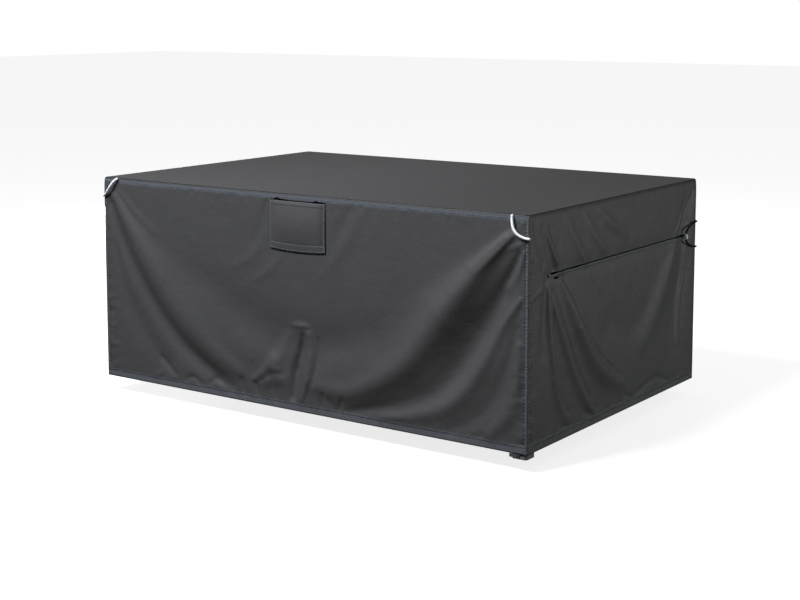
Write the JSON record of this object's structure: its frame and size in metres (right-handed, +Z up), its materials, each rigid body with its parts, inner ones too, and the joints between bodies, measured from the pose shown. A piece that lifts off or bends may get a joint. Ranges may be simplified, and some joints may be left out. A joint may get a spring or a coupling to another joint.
{
  "type": "patio furniture cover",
  "caption": "Fitted box-shaped cover of dark grey coated cloth, open below, with corner seams, a vent flap, a drawcord channel and corner cord loops.",
  "frame": {"origin": "middle of the underside of the top panel, where the covered furniture holds it", "axes": "+X to the right along the long front, +Y to the back, +Z up; the front with the vent flap faces -Y"},
  "size_m": [1.8256, 1.2457, 0.7619],
  "materials": {
    "cover_cloth": "coated plain-weave polyester, dull sheen",
    "seam_binding": "narrow woven binding",
    "loop_cord": "smooth white cord",
    "elastic_cord": "braided black shock cord",
    "pale_moulding": "pale moulded plastic",
    "strap_webbing": "dark woven webbing",
    "dark_moulding": "black moulded plastic"
  },
  "bodies": {
    "root": {"top_panel": "cover_cloth", "front_panel": "cover_cloth", "back_panel": "cover_cloth", "right_end_panel": "cover_cloth", "left_end_panel": "cover_cloth", "corner_seam_front_right": "seam_binding", "corner_seam_front_left": "seam_binding", "corner_seam_back_right": "seam_binding", "corner_seam_back_left": "seam_binding", "vent_flap": "cover_cloth", "drawcord_channel": "cover_cloth", "cord_lock": "pale_moulding", "corner_loop_right": "loop_cord", "corner_loop_left": "loop_cord", "elastic_upper": "elastic_cord", "elastic_lower": "elastic_cord", "leg_strap": "strap_webbing", "strap_buckle": "dark_moulding"}
  },
  "joints": []
}
